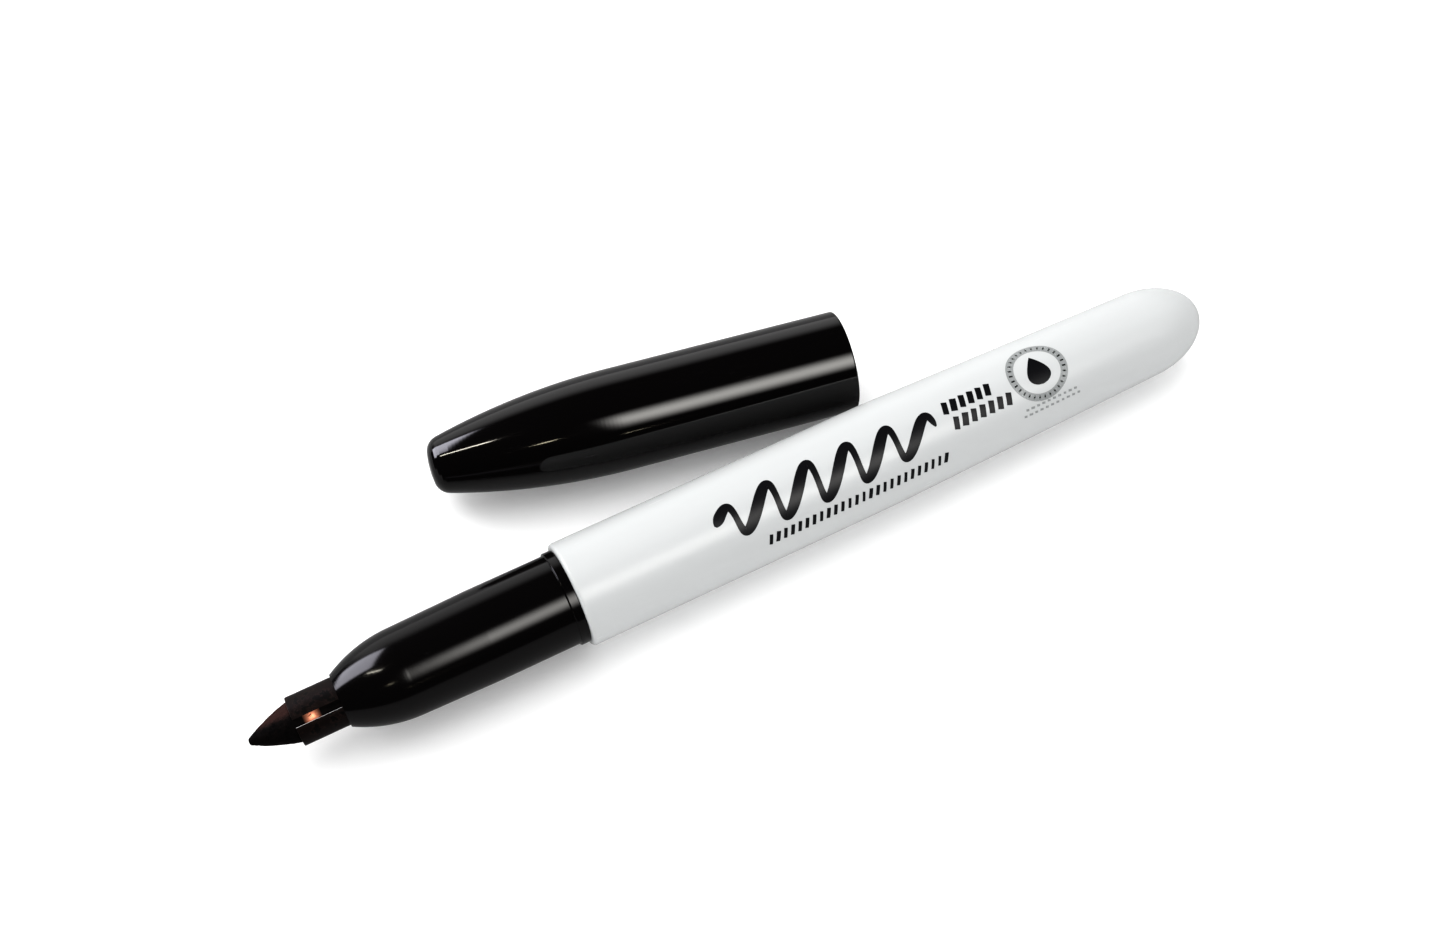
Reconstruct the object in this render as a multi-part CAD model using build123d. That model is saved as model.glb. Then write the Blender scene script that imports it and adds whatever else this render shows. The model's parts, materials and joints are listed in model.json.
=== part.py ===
from build123d import *
import math
import os

# A round felt tip marker with its push-on cap taken off and laid beside it. Millimetres.
#
# The marker is built about its own axis, +X towards the tail, with X = 0 at the front lip of
# the barrel. The cap is built about its own axis, +X out of its mouth, with X = 0 at the mouth.
# Both lie on the ground plane Z = 0, and the whole is centred over the origin in X and Y.

# ---- driving dimensions ---------------------------------------------------------------------

# grip section, the front housing
grip_radius = 5.12          # at the front of its slightly conical stretch
grip_length = 9.1
band_step = 0.2             # rise of that cone to the band, which the cap fits over
band_length = 9.3
collar_step = 0.23          # the collar stands this much above the band
collar_length = 1.1
shoulder_length = 7.7
nose_rim = 0.24             # width of the rim round the nib holder
plug_length = 9.0           # goes into the barrel
plug_lead = 0.4             # chamfer at its end
bead_height = 0.22          # snap bead round the plug
bead_half_length = 0.8
bead_from_lip = 5.0

# nib
nib_radius = 2.3
nib_reach = 5.1             # stands out in front of the holder
nib_point_radius = 0.35
nib_shoulder_gap = 0.2      # straight rod shows this far in front of the holder
nib_shoulder_slope = 0.25   # fall of the point where it leaves the rod
nib_in_core = 4.5           # depth that its rear end sinks into the reservoir

# nib holder
holder_wall = 0.5
holder_reach = 5.2          # stands out in front of the shoulder
holder_flange_width = 1.0
holder_flange_length = 1.0
holder_sleeve = 5.0         # sleeve behind the flange
holder_seat = 9.2           # from the nose rim back to the seat of the flange
slot_width = 0.95
slot_turn = 30.0            # degrees from straight up, towards the -Y side

# barrel
barrel_length = 85.0
barrel_straight = 40.0      # length of the cylindrical front stretch
barrel_wall = 1.0
tail_taper = 0.85           # the cone draws the radius in by this much
tail_dome = 8.3             # length of the dome
lip_round = 0.45
rib_count = 6
rib_width = 0.7
rib_overrun = 1.0           # ribs run this far past the reservoir

# reservoir
film_thickness = 0.1
core_behind_holder = 1.0    # from the end of the holder's sleeve to the front of the core
core_end_gap = 7.7          # from the back of the core to the dome

# cap
cap_wall = 0.83             # round its straight bore
cap_straight = 28.0
cap_end_radius = 3.1
cap_end_crown = 0.3         # the closed end's face rises this much to its middle
cap_end_round = 1.9
cap_end_wall = 1.8
cap_mouth_round = 0.2
nib_clearance = 6.8         # from the nib's point to the liner's floor, cap on
bore_overrun = 0.5          # the straight bore runs this far past the grip
gate_radius = 0.9           # dimple that the moulding gate leaves in the closed end
gate_depth = 0.2
tip_core_radius = 2.2       # hollow in the closed end behind the liner
tip_core_length = 4.2

# cap liner
liner_wall = 0.66
liner_floor = 0.8
liner_gap = 0.4             # from the nose rim to the liner's mouth, cap on
socket_depth = 4.0          # length of the liner gripped by the shell

# fits, all radial unless they say otherwise
press_gap = 0.01            # pieces pressed together
plug_gap = 0.02             # plug in barrel
core_gap = 0.05             # film in the grip, between the ribs and in the tail
cap_fit = 0.05              # cap over collar and band, liner over holder
collar_end_gap = 0.1        # axial, collar to the end of its counterbore

# how the two lie
cap_yaw = 10.3              # degrees, the mouth end turned towards the barrel
cap_mouth_x = 42.65         # mouth behind the barrel's lip
cap_gap = 1.15              # clear space between the barrel and the rim of the mouth

# ---- radii that follow ----------------------------------------------------------------------

band_radius = grip_radius + band_step
collar_radius = band_radius + collar_step
holder_radius = nib_radius + press_gap + holder_wall
nose_radius = holder_radius + press_gap + nose_rim
cap_bore = band_radius + cap_fit
cap_radius = cap_bore + cap_wall
barrel_radius = cap_radius          # the two are flush when the cap is on
barrel_bore = barrel_radius - barrel_wall
plug_radius = barrel_bore - plug_gap
tail_radius = barrel_radius - tail_taper
film_radius = tail_radius - barrel_wall - core_gap
core_radius = film_radius - film_thickness
liner_bore = holder_radius + cap_fit
liner_radius = liner_bore + liner_wall

# ---- stations along the marker --------------------------------------------------------------

x_collar = -collar_length
x_band = x_collar - band_length
x_grip = x_band - grip_length
x_nose = x_grip - shoulder_length
x_holder = x_nose - holder_reach
x_tip = x_holder - nib_reach
x_seat = x_nose + holder_seat
x_sleeve_end = x_seat + holder_flange_length + holder_sleeve
x_core = x_sleeve_end + core_behind_holder
x_nib_end = x_core + nib_in_core
x_cone_end = barrel_length - tail_dome
x_core_end = x_cone_end - core_end_gap

# stations along the cap, which are the marker's own when the cap is on

x_liner = x_nose - liner_gap
x_liner_floor = x_tip - nib_clearance
x_liner_end = x_liner_floor - liner_floor
x_bore_end = x_grip - bore_overrun
cap_length = -x_liner_end + tip_core_length + cap_end_wall


def turned(*edges):
    """Turn a closed outline, drawn with X along the axis and Y as radius, about X."""
    return revolve(make_face(list(edges)), Axis.X)


def rod(x_low, x_high, radius):
    """A plain cylinder on the X axis."""
    return turned(Polyline((x_low, 0), (x_low, radius), (x_high, radius), (x_high, 0), close=True))


def rim(solid, x, radius):
    """The circular edge nearest to station x and the given radius."""
    circles = solid.edges().filter_by(GeomType.CIRCLE)
    return circles.sort_by(lambda e: abs(e.arc_center.X - x) + abs(e.radius - radius))[0]


# ---- barrel ---------------------------------------------------------------------------------

def barrel_form(inset, x_front):
    """Cylinder, cone and dome, drawn in by the given wall."""
    tail = tail_radius - inset
    front = Polyline(
        (x_cone_end, tail), (barrel_straight, barrel_radius - inset),
        (x_front, barrel_radius - inset), (x_front, 0), (barrel_length - inset, 0),
    )
    dome = EllipticalCenterArc((x_cone_end, 0), tail_dome - inset, tail, start_angle=0, arc_size=90)
    return turned(front, dome)


def snap_bead(radius, height):
    """Ring of rounded section that stands out of a cylinder of the given radius."""
    low, high = (bead_from_lip - bead_half_length, radius), (bead_from_lip + bead_half_length, radius)
    crown = (bead_from_lip, radius + height)
    base = (bead_from_lip, radius - height)
    return turned(ThreePointArc(low, crown, high), Polyline(high, base, low))


def make_barrel():
    outer = barrel_form(0, 0)
    outer = fillet(rim(outer, 0, barrel_radius), lip_round)
    hollow = barrel_form(barrel_wall, 0)
    rib_length = x_core_end + rib_overrun - plug_length
    rib = Box(rib_length, rib_width, barrel_radius, align=(Align.MIN, Align.CENTER, Align.MIN))
    for i in range(rib_count):
        hollow -= Rot(X=i * 360 / rib_count) * Pos(plug_length, 0, film_radius + core_gap) * rib
    groove = snap_bead(barrel_bore, bead_height)
    return outer - hollow - groove


# ---- grip section ---------------------------------------------------------------------------

def make_grip_section():
    body = turned(
        TangentArc((x_grip, grip_radius), (x_nose, nose_radius), tangent=(-1, 0)),
        Polyline(
            (x_nose, nose_radius), (x_nose, 0), (plug_length, 0), (plug_length, plug_radius),
            (0, plug_radius), (0, collar_radius), (x_collar, collar_radius), (x_collar, band_radius),
            (x_band, band_radius), (x_grip, grip_radius),
        ),
    )
    body = chamfer(rim(body, plug_length, plug_radius), plug_lead)
    body = fillet(rim(body, x_collar, collar_radius), collar_step * 0.4)
    body += snap_bead(plug_radius, bead_height)
    body -= rod(x_nose, x_seat, holder_radius + press_gap)
    body -= rod(x_seat, plug_length, film_radius + core_gap)
    return body


# ---- nib holder, nib and reservoir ----------------------------------------------------------

def make_nib_holder():
    body = rod(x_holder, x_sleeve_end, holder_radius)
    body = chamfer(rim(body, x_holder, holder_radius), holder_wall * 0.3)
    body += rod(x_seat, x_seat + holder_flange_length, holder_radius + holder_flange_width)
    body -= rod(x_holder, x_sleeve_end, nib_radius + press_gap)
    slot = Box(holder_reach, slot_width, 3 * holder_radius, align=(Align.MIN, Align.CENTER, Align.CENTER))
    return body - Rot(X=slot_turn) * Pos(x_holder, 0, 0) * slot


def make_nib():
    """Fibre rod with a bullet point, rounded off at its very end."""
    shoulder = (x_holder - nib_shoulder_gap, nib_radius)
    point = (x_tip, nib_point_radius)
    rod_and_point = turned(
        Polyline(point, (x_tip, 0), (x_nib_end, 0), (x_nib_end, nib_radius), shoulder),
        TangentArc(shoulder, point, tangent=(-1, -nib_shoulder_slope)),
    )
    return fillet(rim(rod_and_point, x_tip, nib_point_radius), nib_point_radius * 0.8)


def make_ink_reservoir():
    core = rod(x_core, x_core_end, core_radius)
    return core - rod(x_core, x_nib_end, nib_radius + press_gap)


def make_reservoir_film():
    return rod(x_core, x_core_end, film_radius) - rod(x_core, x_core_end, core_radius)


# ---- cap ------------------------------------------------------------------------------------

def make_cap_shell():
    gate_floor = (-cap_length + gate_depth, 0)
    end_rim = (-cap_length + cap_end_crown, cap_end_radius)
    shell = turned(
        TangentArc((-cap_straight, cap_radius), end_rim, tangent=(-1, 0)),
        Polyline(end_rim, (-cap_length, gate_radius)),
        TangentArc(gate_floor, (-cap_length, gate_radius), tangent=(0, 1)),
        Polyline(gate_floor, (0, 0), (0, cap_radius), (-cap_straight, cap_radius)),
    )
    shell = fillet(rim(shell, *end_rim), cap_end_round)
    shell = fillet(rim(shell, 0, cap_radius), cap_mouth_round)
    socket_mouth = (x_liner_end + socket_depth, liner_radius + press_gap)
    socket_floor = (x_liner_end, liner_radius + press_gap)
    shell -= turned(
        TangentArc((x_bore_end, cap_bore), socket_mouth, tangent=(-1, 0)),
        Polyline(socket_mouth, socket_floor, (x_liner_end, 0), (0, 0), (0, cap_bore), (x_bore_end, cap_bore)),
    )
    shell -= rod(x_collar - collar_end_gap, 0, collar_radius + cap_fit)
    shell -= rod(x_liner_end - tip_core_length, x_liner_end, tip_core_radius)
    return shell


def make_cap_liner():
    cup = rod(x_liner_end, x_liner, liner_radius)
    cup -= rod(x_liner_floor, x_liner, liner_bore)
    return chamfer(rim(cup, x_liner, liner_bore), liner_wall * 0.4)


# ---- lay the two down, centre them and write ------------------------------------------------

marker_pieces = {
    "barrel": make_barrel(),
    "grip_section": make_grip_section(),
    "nib_holder": make_nib_holder(),
    "nib": make_nib(),
    "ink_reservoir": make_ink_reservoir(),
    "reservoir_film": make_reservoir_film(),
}
cap_pieces = {
    "cap_shell": make_cap_shell(),
    "cap_liner": make_cap_liner(),
}

cap_y = barrel_radius + cap_gap + cap_radius * math.cos(math.radians(cap_yaw))
marker_place = Pos(0, 0, barrel_radius)
cap_place = Pos(cap_mouth_x, cap_y, cap_radius) * Rot(Z=-cap_yaw)
pieces = {name: marker_place * solid for name, solid in marker_pieces.items()}
pieces.update({name: cap_place * solid for name, solid in cap_pieces.items()})

box = Compound(children=[Compound([solid]) for solid in pieces.values()]).bounding_box()
centred = Pos(-(box.min.X + box.max.X) / 2, -(box.min.Y + box.max.Y) / 2, 0)

os.makedirs("parts", exist_ok=True)
for name, solid in pieces.items():
    export_step(centred * solid, f"parts/{name}.step")
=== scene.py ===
import json
import math

import bmesh
import bpy
from bpy.props import FloatProperty, FloatVectorProperty, IntProperty, PointerProperty
from mathutils import Matrix, Vector, noise


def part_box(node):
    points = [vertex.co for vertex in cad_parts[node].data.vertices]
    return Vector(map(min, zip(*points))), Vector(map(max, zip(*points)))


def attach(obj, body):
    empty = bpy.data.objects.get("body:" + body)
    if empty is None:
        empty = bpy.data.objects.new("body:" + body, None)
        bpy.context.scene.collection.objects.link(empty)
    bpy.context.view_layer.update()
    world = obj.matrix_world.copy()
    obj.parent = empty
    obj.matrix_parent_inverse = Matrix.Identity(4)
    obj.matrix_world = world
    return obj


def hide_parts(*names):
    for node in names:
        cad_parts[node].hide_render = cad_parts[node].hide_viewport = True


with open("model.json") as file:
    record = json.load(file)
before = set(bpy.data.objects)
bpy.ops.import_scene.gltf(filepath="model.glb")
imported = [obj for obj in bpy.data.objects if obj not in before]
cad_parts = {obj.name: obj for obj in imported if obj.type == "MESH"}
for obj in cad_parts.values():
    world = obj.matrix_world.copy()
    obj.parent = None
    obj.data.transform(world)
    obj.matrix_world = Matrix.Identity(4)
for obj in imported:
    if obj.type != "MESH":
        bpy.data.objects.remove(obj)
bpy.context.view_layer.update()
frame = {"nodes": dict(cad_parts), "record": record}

bl_info = {
    "name": "Felt tip marker looks",
    "version": (1, 0, 0),
    "blender": (4, 5, 0),
    "location": "3D View > Sidebar > Marker",
    "description": "Finished pieces, finishes and studio for a round felt tip marker and its cap",
    "category": "Object",
}

# The marker and the cap are each turned about their own axis. A piece is drawn in the frame of
# its axis, with X along it, and laid in place at the end. On the marker X = 0 is the front lip
# of the barrel and +X is towards the tail; on the cap X = 0 is the mouth and +X is out of it.

MM = 0.001
WHITE = (1.0, 1.0, 1.0)


# ---- what the frame says ---------------------------------------------------------------------

mounts = {mount["name"]: mount for mount in frame["record"]["mounts"]}


def axis_place(origin, direction):
    """The matrix that lays the X axis of a turned piece along a direction, from an origin."""
    turn = Vector(direction).to_track_quat("X", "Z").to_matrix().to_4x4()
    return Matrix.Translation(origin) @ turn


def stations(node, place):
    """Lowest and highest station of a CAD node along an axis, and its largest radius."""
    inverse = place.inverted()
    points = [inverse @ vertex.co for vertex in frame["nodes"][node].data.vertices]
    along = [point.x for point in points]
    return min(along), max(along), max(math.hypot(point.y, point.z) for point in points)


def marker_axis():
    low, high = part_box("barrel")
    return axis_place((low.x, (low.y + high.y) / 2, (low.z + high.z) / 2), (1, 0, 0))


def cap_axis():
    bore = mounts["cap_counterbore"]
    outward = Vector(bore["axis"])
    half_length = bore["dims"]["length_mm"] / 2 * MM
    return axis_place(Vector(bore["pos_m"]) + outward * half_length, outward)


# Where the two axes lie. The stations and radii below are measured along and from them.
MARKER = marker_axis()
CAP = cap_axis()
BARREL_LIP, BARREL_END, BARREL_RADIUS = stations("barrel", MARKER)
NOSE, PLUG_END, COLLAR_RADIUS = stations("grip_section", MARKER)
HOLDER_FRONT, HOLDER_END, FLANGE_RADIUS = stations("nib_holder", MARKER)
NIB_TIP, NIB_END, NIB_RADIUS = stations("nib", MARKER)
_, CORE_END, FILM_RADIUS = stations("reservoir_film", MARKER)
CAP_END, CAP_MOUTH, CAP_RADIUS = stations("cap_shell", CAP)
LINER_END, LINER_MOUTH, LINER_RADIUS = stations("cap_liner", CAP)


def mount_size(name, key):
    return mounts[name]["dims"][key] * MM


BAND_RADIUS = mount_size("grip_band", "r_mm")
CAP_BORE = mount_size("cap_mouth", "r_mm")
COUNTERBORE = mount_size("cap_counterbore", "r_mm")
COUNTERBORE_DEPTH = mount_size("cap_counterbore", "length_mm")
CAP_BORE_END = -COUNTERBORE_DEPTH - mount_size("cap_mouth", "length_mm")
LINER_BORE = mount_size("liner_bore", "r_mm")

# Clearances between pieces, all radial.
PRESS_GAP = 0.01 * MM       # the nib in its holder, the holder in the grip, the liner in the cap
PLUG_GAP = 0.02 * MM        # the grip's plug in the barrel
CORE_GAP = 0.05 * MM        # the reservoir in the ribs and in the plug
CAP_FIT = 0.05 * MM         # the liner over the nib holder

# Overlaps that keep faces from coinciding.
RIB_ROOT = 0.2 * MM         # how far a rib reaches into the barrel's wall
CUTTER_REACH = 0.5 * MM     # how far the slot cutter stands out of the holder


# ---- sizes and colours that a user may change ------------------------------------------------

def length(name, millimetres, description):
    return FloatProperty(name=name, default=millimetres * MM, min=0, unit="LENGTH", precision=5,
                         description=description)


def angle(name, degrees, description):
    return FloatProperty(name=name, default=math.radians(degrees), unit="ROTATION",
                         description=description)


def colour(name, value, description):
    return FloatVectorProperty(name=name, default=value, size=3, min=0, max=1, subtype="COLOR",
                               description=description)


class MarkerSizes(bpy.types.PropertyGroup):
    """Sizes of the marker that its CAD boxes and mounts don't say."""

    grip_radius: length("Grip radius", 5.12, "Radius at the front of the grip's slight cone")
    grip_length: length("Grip length", 9.1, "Length of that cone")
    band_length: length("Band length", 9.3, "Length of the band that the cap fits over")
    collar_length: length("Collar length", 1.1, "Length of the collar against the barrel")
    nose_rim: length("Nose rim", 0.24, "Width of the rim round the nib holder")
    holder_seat: length("Holder seat", 9.2, "Depth of the seat of the holder's flange")
    barrel_wall: length("Barrel wall", 1.0, "Thickness of the barrel")
    barrel_straight: length("Straight length", 40.0, "Length of the barrel's cylinder")
    tail_taper: length("Tail taper", 0.85, "How far the barrel draws in by its dome")
    tail_dome: length("Tail dome", 8.3, "Length of the dome that closes the tail")
    lip_round: length("Lip round", 0.45, "Rounding of the barrel's front lip")
    rib_count: IntProperty(name="Ribs", default=6, min=0, max=24,
                           description="Ribs inside the barrel that hold the reservoir")
    rib_width: length("Rib width", 0.7, "Width of each rib")
    rib_overrun: length("Rib overrun", 1.0, "How far the ribs run past the reservoir")
    rib_lead: length("Rib lead", 1.2, "Length of the slope at each end of a rib")
    plug_lead: length("Plug lead", 0.3, "Rounding of the end of the grip's plug")
    holder_wall: length("Holder wall", 0.5, "Thickness of the nib holder")
    slot_width: length("Slot width", 0.95, "Width of the slots in the nib holder")
    flange_length: length("Flange length", 1.0, "Length of the nib holder's flange")
    slot_turn: angle("Slot turn", 30.0, "How far the slots are turned from straight up")
    nib_point: length("Nib point", 0.35, "Radius of the nib's very point")
    nib_shoulder: length("Nib shoulder", 0.2, "Straight rod that shows in front of the holder")
    fibre_length: length("Fibre length", 0.16, "Longest of the loose fibres")
    fibre_thickness: length("Fibre thickness", 0.045, "Width of a loose fibre")
    fibre_count: IntProperty(name="Loose fibres", default=1400, min=0, max=4000,
                             description="Short loose fibres that stand on the felt")


class CapSizes(bpy.types.PropertyGroup):
    """Sizes of the cap that its CAD boxes and mounts don't say."""

    straight: length("Straight length", 28.0, "Length of the cap's cylinder")
    end_radius: length("End radius", 3.1, "Radius that the flank reaches at the closed end")
    end_crown: length("End crown", 0.3, "Rise of the closed end's face to its middle")
    end_round: length("End round", 1.9, "Rounding of the closed end")
    mouth_round: length("Mouth round", 0.2, "Rounding of the mouth's rim")
    gate_radius: length("Gate radius", 0.9, "Dimple that the moulding gate leaves")
    gate_depth: length("Gate depth", 0.2, "Depth of that dimple")
    socket_depth: length("Socket depth", 4.0, "Length of the liner that the shell grips")
    core_radius: length("Core radius", 2.2, "Hollow in the closed end behind the liner")
    core_length: length("Core length", 4.2, "Length of that hollow")
    liner_floor: length("Liner floor", 0.8, "Thickness of the liner's floor")


class Finishes(bpy.types.PropertyGroup):
    """Colours of the plastics, the felt and the print."""

    barrel: colour("Barrel", (0.565, 0.575, 0.576), "White plastic of the barrel")
    black: colour("Black plastic", (0.0052, 0.0045, 0.0047), "Black plastic of grip and cap")
    holder: colour("Holder", (0.0032, 0.0022, 0.0021), "Dull black plastic of the nib holder")
    felt: colour("Felt", (0.0030, 0.0018, 0.0016), "Felt soaked with ink")
    # Painted sheen: the lighter reddish brown painted on the felt's upper flank, standing in for
    # the window light on it.
    felt_dry: colour("Dry felt", (0.040, 0.018, 0.015), "Felt whose ink has dried")
    stain: colour("Holder stain", (0.008, 0.004, 0.0034), "Ink dried on the nib holder")
    stain_rim: colour("Stain rim", (0.020, 0.010, 0.008), "Rims of those stains")
    bronze: colour("Dried ink", (0.62, 0.27, 0.17), "Bronze sheen where ink has dried")
    film: colour("Film", (0.70, 0.73, 0.78), "Thin wrap of the reservoir")
    core: colour("Core", (0.018, 0.017, 0.030), "Fibre core soaked with ink")
    film_stain: colour("Film stain", (0.12, 0.12, 0.2), "Ink behind the film")
    liner: colour("Liner", (0.030, 0.030, 0.033), "Soft plastic of the cap's liner")
    liner_stain: colour("Liner stain", (0.012, 0.010, 0.014), "Ink on the liner")
    ink: colour("Print", (0.008, 0.008, 0.010), "Black of the print on the barrel")
    ink_grey: colour("Grey print", (0.30, 0.31, 0.31), "Grey of the badge on the barrel")


# ---- outlines --------------------------------------------------------------------------------
# An outline is a list of (station, radius) corners. A third number rounds the corner.

ARC_STEPS = 28
ROUND_STEPS = 6
LONGEST_STEP = 1.2 * MM
HOLD = 0.04 * MM            # rings this near to a round keep its shading off the long faces


def arc(start, heading, end, steps=ARC_STEPS):
    """Corners on the arc that leaves start along a heading and reaches end."""
    start, end, heading = Vector(start), Vector(end), Vector(heading).normalized()
    chord = end - start
    side = Vector((-heading.y, heading.x))
    if side.dot(chord) < 0:
        side = -side
    radius = chord.length_squared / (2 * side.dot(chord))
    sweep = 2 * heading.angle(chord)
    points = []
    for i in range(steps + 1):
        turn = sweep * i / steps
        ahead, aside = math.sin(turn), 1 - math.cos(turn)
        points.append(start + heading * radius * ahead + side * radius * aside)
    return [tuple(point) for point in points]


def dome(x, radius, depth, steps=ARC_STEPS):
    """Corners of a quarter ellipse from the axis back to a cylinder that ends at station x."""
    turns = [math.pi / 2 * i / steps for i in range(steps + 1)]
    return [(x + depth * math.cos(turn), radius * math.sin(turn)) for turn in turns]


def round_corner(before, corner, after, radius):
    """Points of a round that replaces a corner."""
    into = (Vector(before) - Vector(corner)).normalized()
    out = (Vector(after) - Vector(corner)).normalized()
    half = into.angle(out) / 2
    setback = radius / math.tan(half)
    start = Vector(corner) + into * setback
    end = Vector(corner) + out * setback
    return arc(start, -into, end, ROUND_STEPS)


def outline(*corners):
    """Points of an outline, its corners rounded and its long runs divided."""
    rounded = []
    for i, corner in enumerate(corners):
        if len(corner) == 3 and corner[2] > 0:
            rounded += round_corner(corners[i - 1][:2], corner[:2], corners[i + 1][:2], corner[2])
        else:
            rounded.append(corner[:2])
    points = [Vector(rounded[0])]
    for target in map(Vector, rounded[1:]):
        run = target - points[-1]
        if run.length < 1e-8:
            continue
        if run.length > 4 * HOLD:
            start, step = points[-1].copy(), run.normalized()
            points.append(start + step * HOLD)
            inner = run.length - 2 * HOLD
            count = max(1, math.ceil(inner / LONGEST_STEP))
            points += [start + step * (HOLD + inner * k / count) for k in range(1, count + 1)]
        points.append(target)
    return points


# ---- node trees ------------------------------------------------------------------------------

def add(tree, kind, *values, **settings):
    """Add a node, and feed its inputs in order with sockets or values. None leaves one alone."""
    node = tree.nodes.new(kind)
    for name, value in settings.items():
        setattr(node, name, value)
    for socket, value in zip([s for s in node.inputs if s.enabled], values):
        if isinstance(value, bpy.types.NodeSocket):
            tree.links.new(value, socket)
        elif value is not None:
            socket.default_value = value
    return node


def out(node, name=None):
    """A node's named output, or its first."""
    if name:
        return node.outputs[name]
    return next(socket for socket in node.outputs if socket.enabled)


def reckon(tree, operation, *values):
    """A Math node's result. The prefix V names a Vector Math operation."""
    if operation.startswith("V "):
        return out(add(tree, "ShaderNodeVectorMath", *values, operation=operation[2:]))
    return out(add(tree, "ShaderNodeMath", *values, operation=operation))


def plus(tree, first, second):
    return reckon(tree, "ADD", first, second)


def minus(tree, first, second):
    return reckon(tree, "SUBTRACT", first, second)


def times(tree, first, second):
    return reckon(tree, "MULTIPLY", first, second)


def over(tree, first, second):
    return reckon(tree, "DIVIDE", first, second)


def vector(tree, *parts):
    return out(add(tree, "ShaderNodeCombineXYZ", *parts))


def ramp(tree, value, low, high, at_low=0.0, at_high=1.0, **settings):
    """A value mapped from low..high to another range, and held at its ends."""
    return out(add(tree, "ShaderNodeMapRange", value, low, high, at_low, at_high, **settings))


def speckle(tree, place, scale, detail, roughness):
    """Fractal noise from 0 to 1."""
    return out(add(tree, "ShaderNodeTexNoise", place, scale, detail, roughness), "Fac")


def new_tree(name, kind, inputs, outputs):
    """A node tree with named inputs and outputs. Each is (name, socket type)."""
    tree = bpy.data.node_groups.new(name, kind)
    for label, socket in inputs:
        tree.interface.new_socket(label, in_out="INPUT", socket_type="NodeSocket" + socket)
    for label, socket in outputs:
        tree.interface.new_socket(label, in_out="OUTPUT", socket_type="NodeSocket" + socket)
    return tree, tree.nodes.new("NodeGroupInput").outputs


def finish_geometry(tree, geometry, material):
    """End a geometry tree in real faces of one material."""
    real = out(add(tree, "GeometryNodeRealizeInstances", geometry))
    painted = out(add(tree, "GeometryNodeSetMaterial", real, None, material))
    add(tree, "NodeGroupOutput", painted)


def turned_form_tree():
    """Turn an outline, given as a chain of vertices in the XZ plane, about the X axis."""
    tree, given = new_tree(
        "turned_form", "GeometryNodeTree",
        [("Outline", "Geometry"), ("Segments", "Int"), ("Material", "Material")],
        [("Piece", "Geometry")])
    count = out(add(tree, "GeometryNodeAttributeDomainSize", given["Outline"], component="MESH"))
    columns = plus(tree, given["Segments"], 1)
    grid = out(add(tree, "GeometryNodeMeshGrid", 1.0, 1.0, columns, count), "Mesh")
    index = out(add(tree, "GeometryNodeInputIndex"))
    ring = reckon(tree, "FLOORED_MODULO", index, count)
    column = reckon(tree, "FLOOR", over(tree, plus(tree, index, 0.01), count))
    position = out(add(tree, "GeometryNodeInputPosition"))
    corner = out(add(tree, "GeometryNodeSampleIndex", given["Outline"], position, ring,
                     data_type="FLOAT_VECTOR", domain="POINT"))
    split = add(tree, "ShaderNodeSeparateXYZ", corner)
    turn = times(tree, over(tree, column, given["Segments"]), math.tau)
    across = times(tree, out(split, "Z"), reckon(tree, "SINE", turn))
    upward = times(tree, out(split, "Z"), reckon(tree, "COSINE", turn))
    place = vector(tree, out(split, "X"), across, upward)
    moved = out(add(tree, "GeometryNodeSetPosition", grid, None, place))
    closed = out(add(tree, "GeometryNodeMergeByDistance", moved, None, 1e-7))
    finish_geometry(tree, closed, given["Material"])
    return tree


def rib_ring_tree():
    """Repeat a piece round the X axis."""
    tree, given = new_tree(
        "rib_ring", "GeometryNodeTree",
        [("Rib", "Geometry"), ("Count", "Int"), ("Material", "Material")],
        [("Ribs", "Geometry")])
    points = out(add(tree, "GeometryNodePoints", given["Count"], (0, 0, 0), 0.001))
    step = over(tree, math.tau, given["Count"])
    turn = times(tree, out(add(tree, "GeometryNodeInputIndex")), step)
    turns = vector(tree, turn, 0.0, 0.0)
    ribs = out(add(tree, "GeometryNodeInstanceOnPoints", points, None, given["Rib"],
                   None, None, turns))
    finish_geometry(tree, ribs, given["Material"])
    return tree


def felt_fuzz_tree():
    """Scatter short loose fibres over the felt, lying back from the point."""
    tree, given = new_tree(
        "felt_fuzz", "GeometryNodeTree",
        [("Felt", "Geometry"), ("Count", "Int"), ("Area", "Float"), ("Length", "Float"),
         ("Thickness", "Float"), ("Last Station", "Float"), ("Material", "Material")],
        [("Fibres", "Geometry")])
    density = over(tree, given["Count"], given["Area"])
    position = out(add(tree, "GeometryNodeInputPosition"))
    station = out(add(tree, "ShaderNodeSeparateXYZ", position), "X")
    bare = out(add(tree, "FunctionNodeCompare", station, given["Last Station"],
                   data_type="FLOAT", operation="LESS_THAN"))
    scatter = add(tree, "GeometryNodeDistributePointsOnFaces", given["Felt"], bare, density, 7,
                  distribute_method="RANDOM")
    fibre = out(add(tree, "GeometryNodeMeshCone", 4, 1, 1, 0.15, 0.5, 1.0), "Mesh")
    lean = reckon(tree, "V ADD", out(scatter, "Normal"), (1.6, 0.0, 0.0))
    stray = out(add(tree, "FunctionNodeRandomValue", (-0.7, -0.7, -0.7), (0.7, 0.7, 0.7), None, 11,
                    data_type="FLOAT_VECTOR"))
    heading = reckon(tree, "V ADD", lean, stray)
    turns = out(add(tree, "FunctionNodeAlignRotationToVector", None, None, heading, axis="Z"))
    share = out(add(tree, "FunctionNodeRandomValue", 0.4, 1.0, None, 3, data_type="FLOAT"))
    tall = times(tree, given["Length"], share)
    size = vector(tree, given["Thickness"], given["Thickness"], tall)
    fibres = out(add(tree, "GeometryNodeInstanceOnPoints", out(scatter, "Points"), None, fibre,
                     None, None, turns, size))
    finish_geometry(tree, fibres, given["Material"])
    return tree


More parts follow.
